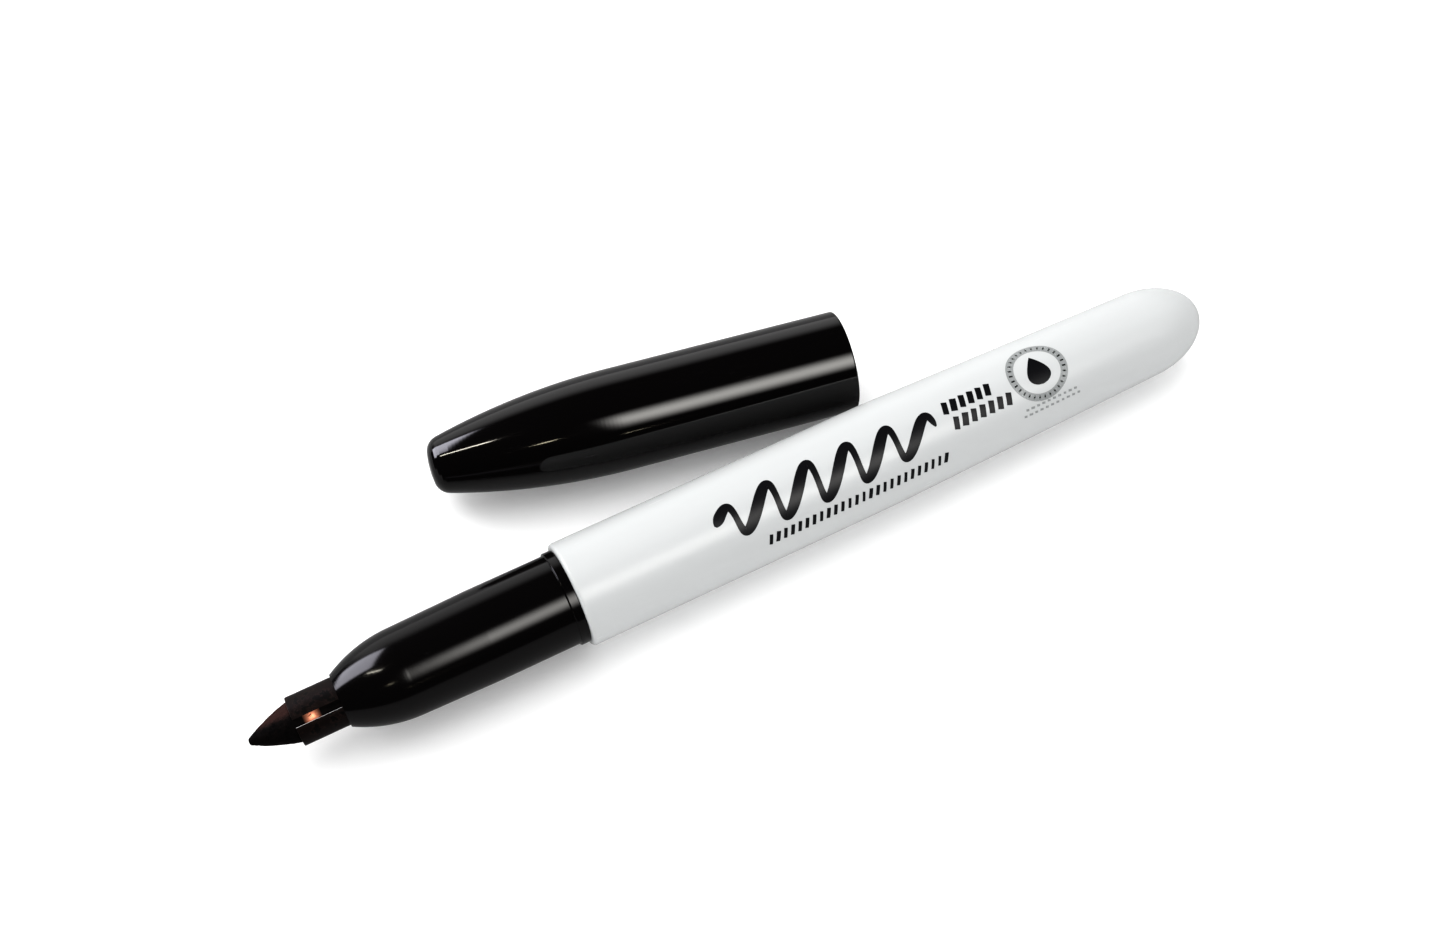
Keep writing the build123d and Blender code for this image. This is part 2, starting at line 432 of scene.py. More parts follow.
def wrapped_print_tree():
    """Repeat a flat mark in a row or a ring, and wrap the result round the barrel.

    The mark's X runs along the barrel, its Y round it and its Z stands off the surface.
    """
    tree, given = new_tree(
        "wrapped_print", "GeometryNodeTree",
        [("Mark", "Geometry"), ("Count", "Int"), ("Start", "Vector"), ("Step", "Vector"),
         ("Arm", "Vector"), ("Turn", "Float"), ("Vary", "Float"), ("Round", "Float"),
         ("Radius", "Float"), ("Straight", "Float"), ("Cone", "Float"), ("Taper", "Float"),
         ("Material", "Material")],
        [("Print", "Geometry")])
    index = out(add(tree, "GeometryNodeInputIndex"))
    turn = times(tree, index, given["Turn"])
    walked = out(add(tree, "ShaderNodeVectorMath", given["Step"], index, operation="SCALE"))
    arm = out(add(tree, "ShaderNodeVectorRotate", given["Arm"], (0, 0, 0), turn,
                  rotation_type="Z_AXIS"))
    spot = reckon(tree, "V ADD", reckon(tree, "V ADD", given["Start"], walked), arm)
    points = out(add(tree, "GeometryNodePoints", given["Count"], (0, 0, 0), 0.001))
    points = out(add(tree, "GeometryNodeSetPosition", points, None, spot))
    turns = vector(tree, 0.0, 0.0, turn)
    least = minus(tree, 1.0, given["Vary"])
    share = out(add(tree, "FunctionNodeRandomValue", least, 1.0, None, 5, data_type="FLOAT"))
    size = vector(tree, share, 1.0, 1.0)
    marks = out(add(tree, "GeometryNodeInstanceOnPoints", points, None, given["Mark"],
                    None, None, turns, size))
    flat = out(add(tree, "GeometryNodeRealizeInstances", marks))
    split = add(tree, "ShaderNodeSeparateXYZ", out(add(tree, "GeometryNodeInputPosition")))
    beyond = minus(tree, out(split, "X"), given["Straight"])
    cone_length = minus(tree, given["Cone"], given["Straight"])
    cone_share = reckon(tree, "MAXIMUM", over(tree, beyond, cone_length), 0.0)
    drawn_in = minus(tree, given["Radius"], times(tree, cone_share, given["Taper"]))
    radius = plus(tree, drawn_in, out(split, "Z"))
    bearing = plus(tree, given["Round"], over(tree, out(split, "Y"), given["Radius"]))
    across = times(tree, radius, reckon(tree, "SINE", bearing))
    upward = times(tree, radius, reckon(tree, "COSINE", bearing))
    place = vector(tree, out(split, "X"), across, upward)
    wrapped = out(add(tree, "GeometryNodeSetPosition", flat, None, place))
    finish_geometry(tree, wrapped, given["Material"])
    return tree


# ---- pieces ----------------------------------------------------------------------------------

SEGMENTS = 224
SMOOTH_BELOW = math.radians(32)


def tree_of(build):
    """The node tree that a function builds, built only once. Its name is the function's."""
    return bpy.data.node_groups.get(build.__name__.removesuffix("_tree")) or build()


def object_of(name, mesh):
    obj = bpy.data.objects.new(name, mesh)
    bpy.context.scene.collection.objects.link(obj)
    return obj


def bake_modifiers(obj):
    """Turn an object with modifiers into a plain mesh."""
    bpy.context.view_layer.update()
    depsgraph = bpy.context.evaluated_depsgraph_get()
    mesh = bpy.data.meshes.new_from_object(obj.evaluated_get(depsgraph))
    mesh.name = obj.name
    obj.modifiers.clear()
    obj.data = mesh


def grow(name, base, tree, **sizes):
    """An object whose mesh is what a geometry tree makes of a base mesh."""
    obj = object_of(name, base)
    modifier = obj.modifiers.new(tree.name, "NODES")
    modifier.node_group = tree
    for label, value in sizes.items():
        socket = tree.interface.items_tree[label.replace("_", " ")]
        modifier[socket.identifier] = value
    bake_modifiers(obj)
    return obj


def chain(points):
    """A mesh of vertices only, from (station, radius) points."""
    mesh = bpy.data.meshes.new("outline")
    mesh.from_pydata([(x, 0, radius) for x, radius in points], [], [])
    return mesh


def turned(name, points, material, segments=SEGMENTS):
    """A piece that closes on itself or on the axis, turned from its outline."""
    return grow(name, chain(points), tree_of(turned_form_tree), Segments=segments,
                Material=material)


def settle(obj, place, body, nodes=(), merge=1e-7):
    """Lay a finished piece in place, close it, turn its faces outwards and let it ride."""
    bm = bmesh.new()
    bm.from_mesh(obj.data)
    if merge:
        bmesh.ops.remove_doubles(bm, verts=bm.verts, dist=merge)
    bmesh.ops.recalc_face_normals(bm, faces=bm.faces)
    bm.transform(place)
    bm.to_mesh(obj.data)
    bm.free()
    obj.data.shade_smooth()
    obj.data.set_sharp_from_angle(angle=SMOOTH_BELOW)
    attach(obj, body)
    if nodes:
        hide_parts(*nodes)
    return obj


# ---- finishes --------------------------------------------------------------------------------

PLASTIC_IOR = 1.46


def moulded_skin_tree():
    """Skin of moulded plastic: fine peel, handling smudges and hairline scuffs along the axis."""
    tree, given = new_tree(
        "moulded_skin", "ShaderNodeTree",
        [("Vector", "Vector"), ("Roughness", "Float"), ("Smudge", "Float"), ("Scuff", "Float"),
         ("Peel", "Float")],
        [("Roughness", "Float"), ("Height", "Float"), ("Mask", "Float")])
    peel = speckle(tree, given["Vector"], 850.0, 2.0, 0.5)
    smudge = speckle(tree, given["Vector"], 140.0, 4.0, 0.6)
    stretched = reckon(tree, "V MULTIPLY", given["Vector"], (0.06, 1.0, 1.0))
    hair = speckle(tree, stretched, 5200.0, 1.0, 0.5)
    line = ramp(tree, hair, 0.70, 0.76, 0.0, 1.0)
    patch = ramp(tree, smudge, 0.52, 0.66, 0.0, 1.0)
    scuff = times(tree, line, patch)
    spread = times(tree, minus(tree, smudge, 0.5), given["Smudge"])
    rough = plus(tree, plus(tree, given["Roughness"], spread), times(tree, scuff, given["Scuff"]))
    height = minus(tree, times(tree, peel, given["Peel"]), times(tree, scuff, given["Scuff"]))
    add(tree, "NodeGroupOutput", rough, height, scuff)
    return tree


def fibre_grain_tree():
    """Pressed fibre: strands along the axis, pores between them and matted clumps."""
    tree, given = new_tree(
        "fibre_grain", "ShaderNodeTree",
        [("Vector", "Vector"), ("Fineness", "Float")],
        [("Height", "Float"), ("Mask", "Float")])
    stretched = reckon(tree, "V MULTIPLY", given["Vector"], (0.18, 1.0, 1.0))
    strand = speckle(tree, stretched, given["Fineness"], 3.0, 0.6)
    coarse = times(tree, given["Fineness"], 0.25)
    clump = speckle(tree, given["Vector"], coarse, 4.0, 0.65)
    pore = out(add(tree, "ShaderNodeTexVoronoi", given["Vector"], given["Fineness"]), "Distance")
    height = plus(tree, times(tree, strand, 0.6), plus(tree, times(tree, clump, 0.5),
                       times(tree, pore, 0.3)))
    mask = ramp(tree, clump, 0.42, 0.68, 0.0, 1.0)
    add(tree, "NodeGroupOutput", height, mask)
    return tree


def ink_stain_tree():
    """Where ink has crept and dried: blots with ragged rims."""
    tree, given = new_tree(
        "ink_stain", "ShaderNodeTree",
        [("Vector", "Vector"), ("Scale", "Float"), ("Amount", "Float")],
        [("Mask", "Float"), ("Rim", "Float")])
    blot = speckle(tree, given["Vector"], given["Scale"], 5.0, 0.62)
    level = plus(tree, minus(tree, blot, 0.75), times(tree, given["Amount"], 0.5))
    mask = ramp(tree, level, 0.0, 0.05, 0.0, 1.0)
    near = reckon(tree, "ABSOLUTE", minus(tree, level, 0.02))
    rim = ramp(tree, near, 0.03, 0.0, 0.0, 1.0)
    add(tree, "NodeGroupOutput", mask, rim)
    return tree


class Finish:
    """A material under way: its tree, its Principled shader and coordinates along an axis."""

    def __init__(self, name, place):
        self.material = bpy.data.materials.new(name)
        self.material.use_nodes = True
        self.tree = self.material.node_tree
        self.shader = self.tree.nodes["Principled BSDF"]
        inverse = place.inverted()
        where = out(add(self.tree, "ShaderNodeTexCoord"), "Object")
        self.vector = out(add(self.tree, "ShaderNodeMapping", where, inverse.translation,
                              inverse.to_euler(), vector_type="POINT"))

    def set(self, **values):
        """Set inputs of the shader, whose names have underscores here for their spaces."""
        for name, value in values.items():
            socket = self.shader.inputs[name.replace("_", " ")]
            if isinstance(value, bpy.types.NodeSocket):
                self.tree.links.new(value, socket)
            else:
                socket.default_value = (*value, 1.0) if isinstance(value, (tuple, list)) else value

    def group(self, build, **values):
        """Place a node group on the piece's coordinates, its other inputs given by name."""
        node = self.tree.nodes.new("ShaderNodeGroup")
        node.node_tree = tree_of(build)
        self.tree.links.new(self.vector, node.inputs["Vector"])
        for name, value in values.items():
            node.inputs[name].default_value = value
        return node.outputs

    def bump(self, height, distance):
        """Raise the surface by a height times a distance."""
        node = add(self.tree, "ShaderNodeBump")
        node.inputs["Strength"].default_value = 1.0
        node.inputs["Distance"].default_value = distance
        self.tree.links.new(height, node.inputs["Height"])
        self.set(Normal=out(node))

    def mould(self, roughness, smudge, scuff, peel, depth_mm):
        """Give the piece a skin of moulded plastic, and return the mask of its scuffs."""
        skin = self.group(moulded_skin_tree, Roughness=roughness, Smudge=smudge, Scuff=scuff,
                          Peel=peel)
        self.set(Roughness=skin["Roughness"])
        self.bump(skin["Height"], depth_mm * MM)
        return skin["Mask"]

    def mix(self, share, first, second):
        """A colour between two, by a mask."""
        node = add(self.tree, "ShaderNodeMix", data_type="RGBA")
        self.tree.links.new(share, node.inputs["Factor"])
        for label, value in (("A", first), ("B", second)):
            socket = next(s for s in node.inputs if s.enabled and s.name == label)
            if isinstance(value, bpy.types.NodeSocket):
                self.tree.links.new(value, socket)
            else:
                socket.default_value = (*value, 1.0)
        return out(node)


def finishes():
    return bpy.context.scene.marker_finishes


def shade(value, factor):
    """A colour made lighter or darker."""
    return tuple(channel * factor for channel in value)


def white_plastic():
    finish = Finish("barrel_white_plastic", MARKER)
    scuffs = finish.mould(roughness=0.24, smudge=0.12, scuff=0.25, peel=0.5, depth_mm=0.004)
    stretched = reckon(finish.tree, "V MULTIPLY", finish.vector, (0.12, 1.0, 1.0))
    flow = speckle(finish.tree, stretched, 420.0, 3.0, 0.5)
    plain = tuple(finishes().barrel)
    tone = finish.mix(flow, shade(plain, 0.975), shade(plain, 1.02))
    finish.set(Base_Color=finish.mix(scuffs, tone, shade(plain, 0.93)),
               IOR=PLASTIC_IOR, Specular_IOR_Level=0.17)
    return finish.material


def black_plastic(name, place, roughness, scuff, specular):
    finish = Finish(name, place)
    scuffs = finish.mould(roughness=roughness, smudge=0.06, scuff=scuff, peel=0.5, depth_mm=0.003)
    plain = tuple(finishes().black)
    finish.set(Base_Color=finish.mix(scuffs, plain, shade(plain, 2.4)),
               IOR=PLASTIC_IOR, Specular_IOR_Level=specular)
    return finish.material


def holder_plastic():
    finish = Finish("holder_dull_plastic", MARKER)
    finish.mould(roughness=0.42, smudge=0.25, scuff=0.3, peel=1.0, depth_mm=0.008)
    stain = finish.group(ink_stain_tree, Scale=900.0, Amount=0.62)
    stained = finish.mix(stain["Mask"], tuple(finishes().holder), tuple(finishes().stain))
    finish.set(Base_Color=finish.mix(stain["Rim"], stained, tuple(finishes().stain_rim)),
               IOR=PLASTIC_IOR, Specular_IOR_Level=0.16)
    return finish.material


def soaked_felt():
    """Felt: brown-black strands, a painted sheen on its upper flank, and bronze where wet ink dries
    in the holder's slots.
    """
    finish = Finish("nib_soaked_felt", MARKER)
    tree = finish.tree
    grain = finish.group(fibre_grain_tree, Fineness=5200.0)
    stain = finish.group(ink_stain_tree, Scale=1500.0, Amount=0.72)
    plain = tuple(finishes().felt)
    strands = finish.mix(grain["Mask"], shade(plain, 0.55), shade(plain, 1.9))
    split = add(tree, "ShaderNodeSeparateXYZ", finish.vector)

    # Painted sheen: the flank that is turned up and to one side, towards the window light, is
    # painted a lighter reddish brown, with a ragged edge.
    upper = plus(tree, times(tree, out(split, "Z"), 0.45), times(tree, out(split, "Y"), 0.9))
    ragged = times(tree, grain["Height"], 0.8 * MM)
    painted_sheen = ramp(tree, plus(tree, upper, ragged), 1.25 * MM, 1.75 * MM)
    strands = finish.mix(painted_sheen, strands, tuple(finishes().felt_dry))

    # Bronze lies in blots about the middle of the slots.
    slot_middle = HOLDER_FRONT * 0.62 + NOSE * 0.38
    off = reckon(tree, "ABSOLUTE", minus(tree, out(split, "X"), slot_middle))
    bronze = times(tree, ramp(tree, off, 1.0 * MM, 0.15 * MM), stain["Mask"])
    roughness = minus(tree, 0.78, times(tree, bronze, 0.5))
    finish.set(Base_Color=finish.mix(bronze, strands, tuple(finishes().bronze)),
               Roughness=roughness, Metallic=bronze, IOR=1.45, Specular_IOR_Level=0.12,
               Sheen_Weight=0.03, Sheen_Roughness=0.35, Sheen_Tint=(0.75, 0.42, 0.36))
    finish.bump(grain["Height"], 0.03 * MM)
    return finish.material


def soaked_core():
    finish = Finish("core_soaked_fibre", MARKER)
    grain = finish.group(fibre_grain_tree, Fineness=2600.0)
    plain = tuple(finishes().core)
    strands = finish.mix(grain["Mask"], shade(plain, 0.6), shade(plain, 1.6))
    finish.set(Base_Color=strands, Roughness=0.7)
    finish.bump(grain["Height"], 0.05 * MM)
    return finish.material


def stained_plastic(name, place, plain, stain, blot_scale, blot_amount, **skin):
    """Hidden plastic that ink has crept over, its skin as Finish.mould takes it."""
    finish = Finish(name, place)
    finish.mould(**skin)
    blots = finish.group(ink_stain_tree, Scale=blot_scale, Amount=blot_amount)["Mask"]
    finish.set(Base_Color=finish.mix(blots, tuple(plain), tuple(stain)))
    return finish.material


def clear_film():
    return stained_plastic("core_wrap_film", MARKER, finishes().film, finishes().film_stain,
                           260.0, 0.55, roughness=0.22, smudge=0.2, scuff=0.2, peel=1.0,
                           depth_mm=0.02)


def liner_plastic():
    return stained_plastic("liner_soft_plastic", CAP, finishes().liner, finishes().liner_stain,
                           500.0, 0.6, roughness=0.5, smudge=0.2, scuff=0.2, peel=1.0,
                           depth_mm=0.01)


def grip_plastic():
    return black_plastic("grip_black_plastic", MARKER, roughness=0.13, scuff=0.30, specular=0.34)


def cap_plastic():
    return black_plastic("cap_black_plastic", CAP, roughness=0.08, scuff=0.22, specular=0.50)


def print_ink(name, value):
    finish = Finish(name, MARKER)
    finish.mould(roughness=0.36, smudge=0.15, scuff=0.2, peel=1.0, depth_mm=0.006)
    specks = speckle(finish.tree, finish.vector, 6000.0, 3.0, 0.6)
    thin = ramp(finish.tree, specks, 0.60, 0.75, 0.0, 0.5)
    finish.set(Base_Color=finish.mix(thin, value, shade(value, 3.0)),
               IOR=PLASTIC_IOR, Specular_IOR_Level=0.28)
    return finish.material


FINISHES = {
    "barrel_plastic": white_plastic,
    "grip_plastic": grip_plastic,
    "cap_plastic": cap_plastic,
    "holder_plastic": holder_plastic,
    "nib_felt": soaked_felt,
    "core_fibre": soaked_core,
    "core_film": clear_film,
    "liner_plastic": liner_plastic,
    "print_black": lambda: print_ink("print_black_ink", tuple(finishes().ink)),
    "print_grey": lambda: print_ink("print_grey_ink", tuple(finishes().ink_grey)),
}
made_finishes = {}


def finish_for(slot):
    if slot not in made_finishes:
        made_finishes[slot] = FINISHES[slot]()
    return made_finishes[slot]


# ---- operators, one for each piece or group of pieces ----------------------------------------

class MARKER_OT_barrel(bpy.types.Operator):
    """Turn the barrel and set the ribs inside its bore."""

    bl_idname = "marker.barrel"
    bl_label = "Barrel"

    def execute(self, context):
        sizes = context.scene.marker_sizes
        cone_end = BARREL_END - sizes.tail_dome
        tail = BARREL_RADIUS - sizes.tail_taper
        wall = sizes.barrel_wall
        bore = BARREL_RADIUS - wall
        points = outline(
            *dome(cone_end, tail, sizes.tail_dome),
            (sizes.barrel_straight, BARREL_RADIUS),
            (BARREL_LIP, BARREL_RADIUS, sizes.lip_round),
            (BARREL_LIP, bore),
            (sizes.barrel_straight, bore),
            *reversed(dome(cone_end, tail - wall, sizes.tail_dome - wall)),
        )
        barrel = turned("barrel_shell", points, finish_for("barrel_plastic"))
        settle(barrel, MARKER, "marker", ["barrel"])
        ribs = grow("barrel_ribs", self.rib(sizes, bore), tree_of(rib_ring_tree),
                    Count=sizes.rib_count, Material=finish_for("barrel_plastic"))
        settle(ribs, MARKER, "marker", merge=0)
        return {"FINISHED"}

    @staticmethod
    def rib(sizes, bore):
        """One rib, standing in from the bore to the reservoir, its ends sloped."""
        low, high = PLUG_END, CORE_END + sizes.rib_overrun
        inner, outer = FILM_RADIUS + CORE_GAP, bore + RIB_ROOT
        lead = sizes.rib_lead
        corners = ((low, outer), (low + lead, inner), (high - lead, inner), (high, outer))
        sides = (-sizes.rib_width / 2, sizes.rib_width / 2)
        vertices = [(x, y, z) for y in sides for x, z in corners]
        faces = [(0, 1, 2, 3), (7, 6, 5, 4)]
        faces += [(i, (i + 1) % 4, (i + 1) % 4 + 4, i + 4) for i in range(4)]
        mesh = bpy.data.meshes.new("rib")
        mesh.from_pydata(vertices, [], faces)
        return mesh


class MARKER_OT_grip(bpy.types.Operator):
    """Turn the grip section with its bands, collar and plug."""

    bl_idname = "marker.grip"
    bl_label = "Grip section"

    def execute(self, context):
        sizes = context.scene.marker_sizes
        collar = -sizes.collar_length
        band = collar - sizes.band_length
        grip = band - sizes.grip_length
        holder_bore = LINER_BORE - CAP_FIT + PRESS_GAP
        nose = holder_bore + sizes.nose_rim
        plug = BARREL_RADIUS - sizes.barrel_wall - PLUG_GAP
        core_bore = FILM_RADIUS + CORE_GAP
        seat = NOSE + sizes.holder_seat
        start = (NOSE, (holder_bore + nose) / 2)
        points = outline(
            start,
            (NOSE, nose, 0.06 * MM),
            *reversed(arc((grip, sizes.grip_radius), (-1, 0), (NOSE, nose))[:-1]),
            (band, BAND_RADIUS),
            (collar, BAND_RADIUS, 0.05 * MM),
            (collar, COLLAR_RADIUS, 0.10 * MM),
            (0, COLLAR_RADIUS, 0.06 * MM),
            (0, plug),
            (PLUG_END, plug, sizes.plug_lead),
            (PLUG_END, core_bore),
            (seat, core_bore),
            (seat, holder_bore),
            (NOSE, holder_bore, 0.04 * MM),
            start,
        )
        grip_piece = turned("grip_housing", points, finish_for("grip_plastic"))
        settle(grip_piece, MARKER, "marker", ["grip_section"])
        return {"FINISHED"}


class MARKER_OT_holder(bpy.types.Operator):
    """Turn the nib holder and cut its two slots."""

    bl_idname = "marker.holder"
    bl_label = "Nib holder"

    def execute(self, context):
        sizes = context.scene.marker_sizes
        bore = NIB_RADIUS + PRESS_GAP
        radius = bore + sizes.holder_wall
        seat = NOSE + sizes.holder_seat
        flange_end = seat + sizes.flange_length
        start = (HOLDER_FRONT, bore + sizes.holder_wall / 2)
        points = outline(
            start,
            (HOLDER_FRONT, radius, 0.07 * MM),
            (seat, radius),
            (seat, FLANGE_RADIUS, 0.05 * MM),
            (flange_end, FLANGE_RADIUS, 0.05 * MM),
            (flange_end, radius),
            (HOLDER_END, radius),
            (HOLDER_END, bore),
            (HOLDER_FRONT, bore, 0.05 * MM),
            start,
        )
        holder = turned("nib_sleeve", points, finish_for("holder_plastic"), 128)
        cutter = self.slot_cutter(sizes, radius)
        cut = holder.modifiers.new("slots", "BOOLEAN")
        cut.operation = "DIFFERENCE"
        cut.solver = "EXACT"
        cut.object = cutter
        bake_modifiers(holder)
        bpy.data.objects.remove(cutter)
        settle(holder, MARKER, "marker", ["nib_holder"], merge=0.001 * MM)
        return {"FINISHED"}

    @staticmethod
    def slot_cutter(sizes, radius):
        """A block through the holder's front, as wide as the two slots."""
        front = HOLDER_FRONT - CUTTER_REACH
        size = Vector((NOSE - front, sizes.slot_width, 3 * radius))
        middle = Vector(((NOSE + front) / 2, 0, 0))
        turn = Matrix.Rotation(sizes.slot_turn, 4, "X")
        shape = turn @ Matrix.Translation(middle) @ Matrix.Diagonal((*size, 1))
        bm = bmesh.new()
        bmesh.ops.create_cube(bm, size=1.0, matrix=shape)
        mesh = bpy.data.meshes.new("slot_cutter")
        bm.to_mesh(mesh)
        bm.free()
        return object_of("slot_cutter", mesh)


class MARKER_OT_nib(bpy.types.Operator):
    """Turn the felt nib, roughen it and scatter loose fibres on its point."""

    bl_idname = "marker.nib"
    bl_label = "Nib"

    def execute(self, context):
        sizes = context.scene.marker_sizes
        shoulder = (HOLDER_FRONT - sizes.nib_shoulder, NIB_RADIUS)
        point = (NIB_TIP, sizes.nib_point)
        flank = arc(shoulder, (-1, -0.25), point, 60)
        points = outline(
            (NIB_TIP, 0),
            (NIB_TIP, sizes.nib_point, sizes.nib_point * 0.8),
            *reversed(flank[:-1]),
            (NIB_END, NIB_RADIUS),
            (NIB_END, 0),
        )
        nib = turned("felt_nib", points, finish_for("nib_felt"), 160)
        area = sum(face.area for face in nib.data.polygons if face.center.x < shoulder[0])
        fibres = grow("nib_fibres", nib.data.copy(), tree_of(felt_fuzz_tree),
                      Count=sizes.fibre_count, Area=area, Length=sizes.fibre_length,
                      Thickness=sizes.fibre_thickness, Last_Station=shoulder[0],
                      Material=finish_for("nib_felt"))
        self.roughen(nib.data, shoulder[0])
        settle(nib, MARKER, "marker", ["nib"])
        settle(fibres, MARKER, "marker", merge=0)
        return {"FINISHED"}

    @staticmethod
    def roughen(mesh, shoulder):
        """Matted clumps and lengthwise furrows on the exposed felt, which fade in from the rod."""
        fade_length = 0.4 * MM
        for vertex in mesh.vertices:
            x, y, z = vertex.co
            if x > shoulder:
                continue
            clump = noise.noise(vertex.co * 1800)
            furrow = noise.noise(Vector((x * 500, y * 3600, z * 3600)))
            fade = min(1.0, (shoulder - x) / fade_length)
            height = (0.035 * clump + 0.03 * furrow - 0.02) * MM * fade
            outward = Vector((0, y, z))
            if outward.length > 0.05 * MM:
                vertex.co += outward.normalized() * height


class MARKER_OT_reservoir(bpy.types.Operator):
    """Finish the reservoir and its film, which stay as they are inside the barrel."""

    bl_idname = "marker.reservoir"
    bl_label = "Ink reservoir"

    def execute(self, context):
        for node, slot in (("ink_reservoir", "core_fibre"), ("reservoir_film", "core_film")):
            piece = frame["nodes"][node]
            piece.data.materials.clear()
            piece.data.materials.append(finish_for(slot))
        return {"FINISHED"}


class MARKER_OT_cap(bpy.types.Operator):
    """Turn the cap's shell and the liner inside it."""

    bl_idname = "marker.cap"
    bl_label = "Cap"

    def execute(self, context):
        sizes = context.scene.cap_sizes
        gate_floor = (CAP_END + sizes.gate_depth, 0)
        end = (CAP_END + sizes.end_crown, sizes.end_radius)
        socket = LINER_RADIUS + PRESS_GAP
        socket_mouth = (LINER_END + sizes.socket_depth, socket)
        core_end = LINER_END - sizes.core_length
        flank = arc((-sizes.straight, CAP_RADIUS), (-1, 0), end, 48)
        points = outline(
            *arc(gate_floor, (0, 1), (CAP_END, sizes.gate_radius), 10),
            (*end, sizes.end_round),
            *reversed([corner for corner in flank if corner[0] > end[0] + sizes.end_round]),
            (CAP_MOUTH, CAP_RADIUS, sizes.mouth_round),
            (CAP_MOUTH, COUNTERBORE, 0.08 * MM),
            (-COUNTERBORE_DEPTH, COUNTERBORE),
            (-COUNTERBORE_DEPTH, CAP_BORE, 0.06 * MM),
            *arc((CAP_BORE_END, CAP_BORE), (-1, 0), socket_mouth),
            (LINER_END, socket),
            (LINER_END, sizes.core_radius),
            (core_end, sizes.core_radius, 0.3 * MM),
            (core_end, 0),
        )
        shell = turned("cap_body", points, finish_for("cap_plastic"))
        settle(shell, CAP, "cap", ["cap_shell"])
        liner_points = outline(
            (LINER_END, 0),
            (LINER_END, LINER_RADIUS, 0.2 * MM),
            (LINER_MOUTH, LINER_RADIUS, 0.1 * MM),
            (LINER_MOUTH, LINER_BORE, 0.2 * MM),
            (LINER_END + sizes.liner_floor, LINER_BORE, 0.3 * MM),
            (LINER_END + sizes.liner_floor, 0),
        )
        liner = turned("cap_seal", liner_points, finish_for("liner_plastic"), 128)
        settle(liner, CAP, "cap", ["cap_liner"])
        return {"FINISHED"}


# ---- print -----------------------------------------------------------------------------------

INK_TOP = 0.012 * MM        # above the barrel's surface
INK_FOOT = -0.03 * MM


def ribbon(spine, half_widths, across=4, looped=False):
    """A flat solid ribbon of ink along a spine of (x, y) points, in millimetres."""
    spine = [Vector(point) * MM for point in spine]
    last = len(spine) - 1
    rows = []
    for i, point in enumerate(spine):
        if looped:
            ahead = spine[(i + 1) % len(spine)] - spine[i - 1]
        else:
            ahead = spine[min(i + 1, last)] - spine[max(i - 1, 0)]
        side = Vector((-ahead.y, ahead.x)).normalized() * half_widths[i] * MM
        rows.append([point + side * (2 * k / across - 1) for k in range(across + 1)])
    wide = across + 1
    vertices = [(p.x, p.y, z) for z in (INK_TOP, INK_FOOT) for row in rows for p in row]
    lower = len(rows) * wide
    faces = []
    for i in range(len(rows) if looped else last):
        here, ahead = i * wide, (i + 1) % len(rows) * wide
        for k in range(across):
            a, b = here + k, ahead + k
            faces.append((a, a + 1, b + 1, b))
            faces.append((a + lower, b + lower, b + 1 + lower, a + 1 + lower))
        for k in (0, across):
            a, b = here + k, ahead + k
            faces.append((a, b, b + lower, a + lower))
    for i in () if looped else (0, last):
        for k in range(across):
            a = i * wide + k
            faces.append((a, a + lower, a + 1 + lower, a + 1))
    mesh = bpy.data.meshes.new("mark")
    mesh.from_pydata(vertices, [], faces)
    return mesh


def bar(length_mm, width_mm, slant=0.0, steps=6):
    """A straight mark that leans along the barrel by its slant."""
    along = [(i / steps - 0.5) * length_mm for i in range(steps + 1)]
    spine = [(slant * (i / steps - 0.5) * length_mm, y) for i, y in enumerate(along)]
    return ribbon(spine, [width_mm / 2] * (steps + 1), 2)


def print_mark(name, mark, slot, bearing, start=(0, 0), count=1, step=(0, 0), arm=0.0,
               turn=0.0, vary=0.0):
    """Wrap one or more marks round the barrel. Places are in millimetres, angles in degrees."""
    sizes = bpy.context.scene.marker_sizes
    obj = grow(name, mark, tree_of(wrapped_print_tree), Count=count,
               Start=(start[0] * MM, start[1] * MM, 0), Step=(step[0] * MM, step[1] * MM, 0),
               Arm=(arm * MM, 0, 0), Turn=math.radians(turn), Vary=vary,
               Round=math.radians(-bearing), Radius=BARREL_RADIUS,
               Straight=sizes.barrel_straight, Cone=BARREL_END - sizes.tail_dome,
               Taper=sizes.tail_taper, Material=finish_for(slot))
    return settle(obj, MARKER, "marker", merge=0)


def wavy_stroke():
    """A bold hand-drawn wave, thick on the way down and thin on the way up."""
    start, reach, height, waves, slant = 17.0, 28.5, 2.35, 5.5, 0.42
    steps, blunt_steps = 260, 5
    spine, half_widths = [], []
    for i in range(steps + 1):
        t = i / steps
        phase = t * waves * math.tau
        swell = math.sin(math.pi * (0.05 + 0.88 * t)) ** 0.35
        y = height * swell * math.sin(phase)
        spine.append((start + reach * t + slant * y, y))
        near_end = min(1.0, min(i, steps - i) / blunt_steps)
        blunt = max(0.06, math.sin(math.pi / 2 * near_end)) ** 0.5
        half_widths.append((0.52 + 0.16 * math.cos(phase)) * blunt)
    return ribbon(spine, half_widths, 5)


def drop_mark():
    """An ink drop: a point that swells into a round belly."""
    point, height, belly = 2.1, 3.9, 1.5
    steps = 36
    spine, half_widths = [], []
    for i in range(steps + 1):
        t = i / steps
        spine.append((0.0, point - height * t))
        half_widths.append(max(0.02, belly * math.sqrt(max(0, math.sin(math.pi * t ** 1.8)))))
    return ribbon(spine, half_widths, 8)


def ring_mark(radius, width, steps=120):
    turns = [math.tau * i / steps for i in range(steps)]
    spine = [(radius * math.cos(turn), radius * math.sin(turn)) for turn in turns]
    return ribbon(spine, [width / 2] * steps, 3, looped=True)


